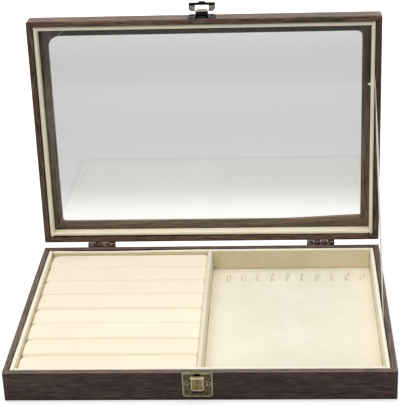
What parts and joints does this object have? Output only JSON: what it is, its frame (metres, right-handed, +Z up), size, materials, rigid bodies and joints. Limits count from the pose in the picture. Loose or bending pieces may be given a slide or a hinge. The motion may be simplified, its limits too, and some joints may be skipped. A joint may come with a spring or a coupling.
{
  "type": "ring and necklace display box",
  "caption": "Shallow hinged display box with padded ring rolls, a hooked necklace compartment and a glazed lid held open by a ribbon.",
  "frame": {"origin": "middle of the underside felt, on the surface that the box stands on", "axes": "+Z up, +X to the right seen from the latch side, +Y towards the hinges; the lid is at its open stop"},
  "size_m": [0.35, 0.274, 0.2866],
  "materials": {
    "wrapped_board_base": "satin",
    "wrapped_board_lid": "satin",
    "panel_board": "matte",
    "dark_felt": "matte",
    "velvet_lining": "matte",
    "velvet_pad": "matte",
    "velvet_roll": "matte",
    "hook_wire": "satin",
    "clear_glass": "gloss",
    "satin_ribbon": "satin",
    "latch_brass": "satin",
    "dark_nail": "satin",
    "antique_bronze": "satin"
  },
  "bodies": {
    "base": {"base_front_wall": "wrapped_board_base", "base_back_wall": "wrapped_board_base", "base_left_wall": "wrapped_board_base", "base_right_wall": "wrapped_board_base", "floor_panel": "panel_board", "underside_felt": "dark_felt", "lining_front": "velvet_lining", "lining_back": "velvet_lining", "lining_left": "velvet_lining", "lining_right": "velvet_lining", "divider": "velvet_lining", "necklace_board": "velvet_pad", "ring_roll_1": "velvet_roll", "ring_roll_2": "velvet_roll", "ring_roll_3": "velvet_roll", "ring_roll_4": "velvet_roll", "ring_roll_5": "velvet_roll", "ring_roll_6": "velvet_roll", "ring_roll_7": "velvet_roll", "ring_roll_8": "velvet_roll", "necklace_hook_1": "hook_wire", "necklace_hook_2": "hook_wire", "necklace_hook_3": "hook_wire", "necklace_hook_4": "hook_wire", "necklace_hook_5": "hook_wire", "necklace_hook_6": "hook_wire", "necklace_hook_7": "hook_wire", "necklace_hook_8": "hook_wire", "necklace_hook_9": "hook_wire", "necklace_hook_10": "hook_wire", "hinge_leaf_base_left": "antique_bronze", "hinge_leaf_base_right": "antique_bronze", "hinge_pin_left": "antique_bronze", "hinge_pin_right": "antique_bronze", "hinge_nails_base": "antique_bronze", "catch_plate": "antique_bronze", "catch_tongue": "latch_brass", "catch_nails": "dark_nail", "stay_ribbon": "satin_ribbon"},
    "lid": {"lid_front_rail": "wrapped_board_lid", "lid_back_rail": "wrapped_board_lid", "lid_left_rail": "wrapped_board_lid", "lid_right_rail": "wrapped_board_lid", "lid_window_panel": "wrapped_board_lid", "lid_glass": "clear_glass", "lid_lining_front": "velvet_lining", "lid_lining_back": "velvet_lining", "lid_lining_left": "velvet_lining", "lid_lining_right": "velvet_lining", "hinge_leaf_lid_left": "antique_bronze", "hinge_leaf_lid_right": "antique_bronze", "hinge_nails_lid": "antique_bronze", "hasp_plate": "antique_bronze", "hasp_pin": "antique_bronze", "hasp_nails": "antique_bronze"},
    "hasp": {"hasp_flap": "antique_bronze"}
  },
  "joints": [
    {"name": "lid_hinge", "type": "hinge", "parent": "base", "child": "lid", "pos_m": [0, 0.1233, 0.0302], "axis": [1, 0, 0], "range_deg": [0, 92], "deforming": ["stay_ribbon"]},
    {"name": "hasp_hinge", "type": "hinge", "parent": "lid", "child": "hasp", "pos_m": [-0.0012, 0.13708, 0.27567], "axis": [1, 0, 0], "range_deg": [0, 132]}
  ]
}
